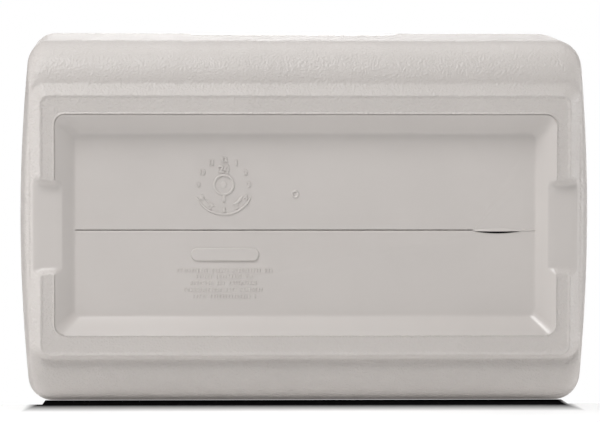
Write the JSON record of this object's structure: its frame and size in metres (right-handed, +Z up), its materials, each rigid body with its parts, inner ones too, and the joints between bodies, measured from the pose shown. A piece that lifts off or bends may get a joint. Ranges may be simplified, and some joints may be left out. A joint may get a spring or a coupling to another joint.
{
  "type": "hard-sided chest cooler",
  "caption": "Insulated chest cooler with a hinged lid, rubber front latches, recessed swing handles at the ends and a raised foot rim round a recessed base panel.",
  "frame": {"origin": "middle of the box's footprint, in the plane of the foot rim", "axes": "+X along the length towards the right end, -Y towards the front with the latches, +Z up towards the lid"},
  "size_m": [0.519, 0.34, 0.34],
  "materials": {
    "shell": "satin",
    "liner": "satin",
    "foam": "matte",
    "gasket": "matte",
    "hardware": "satin",
    "rubber": "matte",
    "steel": "satin"
  },
  "bodies": {
    "body": {"body_shell": "shell", "body_foam": "foam", "body_liner": "liner", "hinge_body_leaf_left": "hardware", "hinge_body_leaf_right": "hardware", "hinge_pin_left": "steel", "hinge_pin_right": "steel", "latch_keeper_left": "hardware", "latch_keeper_right": "hardware", "handle_bracket_left_front": "hardware", "handle_bracket_left_back": "hardware", "handle_bracket_right_front": "hardware", "handle_bracket_right_back": "hardware", "hinge_screw_body_left_outer": "steel", "hinge_screw_body_left_inner": "steel", "hinge_screw_body_right_outer": "steel", "hinge_screw_body_right_inner": "steel", "keeper_screw_left_outer": "steel", "keeper_screw_left_inner": "steel", "keeper_screw_right_outer": "steel", "keeper_screw_right_inner": "steel", "handle_screw_left_front": "steel", "handle_screw_left_back": "steel", "handle_screw_right_front": "steel", "handle_screw_right_back": "steel"},
    "lid": {"lid_shell": "shell", "lid_foam": "foam", "lid_liner": "liner", "lid_gasket": "gasket", "hinge_lid_leaf_left": "hardware", "hinge_lid_leaf_right": "hardware", "latch_pin_left": "steel", "latch_pin_right": "steel", "hinge_screw_lid_left_outer": "steel", "hinge_screw_lid_left_inner": "steel", "hinge_screw_lid_right_outer": "steel", "hinge_screw_lid_right_inner": "steel"},
    "latch_left": {"latch_strap_left": "rubber"},
    "latch_right": {"latch_strap_right": "rubber"},
    "handle_left": {"handle_bar_left": "hardware", "handle_grip_left": "rubber"},
    "handle_right": {"handle_bar_right": "hardware", "handle_grip_right": "rubber"}
  },
  "joints": [
    {"name": "lid_hinge", "type": "hinge", "parent": "body", "child": "lid", "pos_m": [0, 0.1655, 0.29275], "axis": [-1, 0, 0], "range_deg": [0, 105]},
    {"name": "latch_left_swing", "type": "hinge", "parent": "lid", "child": "latch_left", "pos_m": [-0.13, -0.163, 0.318], "axis": [-1, 0, 0], "range_deg": [0, 130]},
    {"name": "latch_right_swing", "type": "hinge", "parent": "lid", "child": "latch_right", "pos_m": [0.13, -0.163, 0.318], "axis": [-1, 0, 0], "range_deg": [0, 130]},
    {"name": "handle_left_swing", "type": "hinge", "parent": "body", "child": "handle_left", "pos_m": [-0.2475, -0.0025, 0.2335], "axis": [0, 1, 0], "range_deg": [0, 90]},
    {"name": "handle_right_swing", "type": "hinge", "parent": "body", "child": "handle_right", "pos_m": [0.2475, -0.0025, 0.2335], "axis": [0, -1, 0], "range_deg": [0, 90]}
  ]
}
